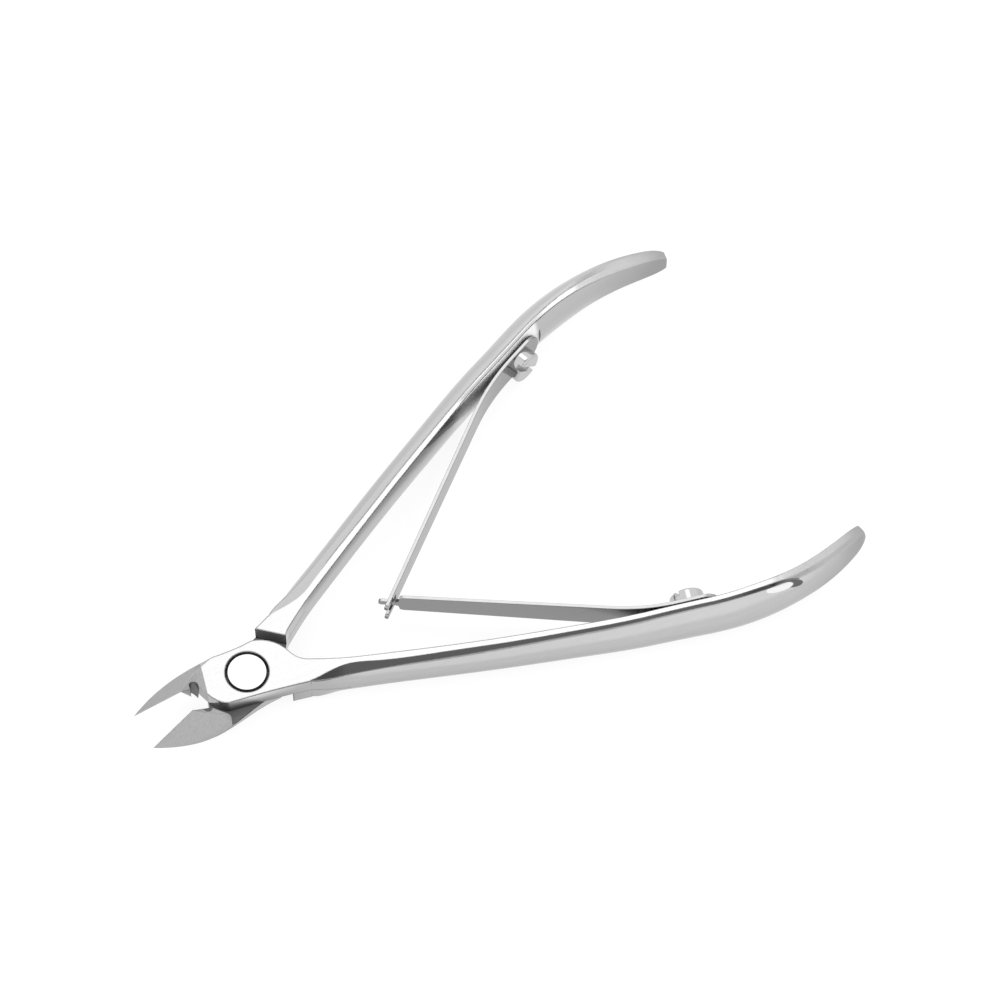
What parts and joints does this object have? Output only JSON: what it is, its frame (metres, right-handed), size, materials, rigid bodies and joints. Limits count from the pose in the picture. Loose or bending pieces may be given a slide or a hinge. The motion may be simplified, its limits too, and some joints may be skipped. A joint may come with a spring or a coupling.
{
  "type": "cuticle nipper",
  "caption": "Steel cuticle nipper: two levers on a lap joint, pointed jaws at a slant, held open by a pair of interlocking leaf springs.",
  "frame": {"origin": "on the pivot axis, at the flat back face of the joint", "axes": "+X from the pivot towards the handle ends, midway between the levers; +Y towards the handle of the rear lever; +Z out of the front face, along the pivot axis"},
  "size_m": [0.1098, 0.0644, 0.0085],
  "materials": {
    "lever_steel": "satin-ground stainless steel, flats polished brighter",
    "pivot_steel": "finely ground flush with the joint face",
    "spring_steel": "rolled spring steel strip, semi-bright",
    "screw_steel": "turned and polished"
  },
  "bodies": {
    "lever_a": {"front_lever": "lever_steel", "front_leaf_spring_root": "spring_steel", "front_spring_screw": "screw_steel"},
    "lever_b": {"rear_lever": "lever_steel", "pivot_screw": "pivot_steel", "rear_leaf_spring_root": "spring_steel", "rear_spring_screw": "screw_steel"},
    "spring_a": {"front_leaf_spring_arm": "spring_steel"},
    "spring_b": {"rear_leaf_spring_arm": "spring_steel"}
  },
  "joints": [
    {"name": "lever_pivot", "type": "hinge", "parent": "lever_a", "child": "lever_b", "pos_m": [0, 0, 0.0028], "axis": [0, 0, -1], "range_deg": [0, 18.7], "stiffness_Nm_per_rad": 1.2, "springref_deg": -8.59},
    {"name": "front_spring_flex", "type": "hinge", "parent": "lever_a", "child": "spring_a", "pos_m": [0.05633, -0.02253, 0.0028], "axis": [0, 0, 1], "range_deg": [0, 6.6]},
    {"name": "rear_spring_flex", "type": "hinge", "parent": "lever_b", "child": "spring_b", "pos_m": [0.05633, 0.02253, 0.0028], "axis": [0, 0, -1], "range_deg": [0, 6.6]}
  ],
  "couplings": [
    {"joint": "front_spring_flex", "follows": "lever_pivot", "ratio": 0.35},
    {"joint": "rear_spring_flex", "follows": "lever_pivot", "ratio": 0.35}
  ]
}
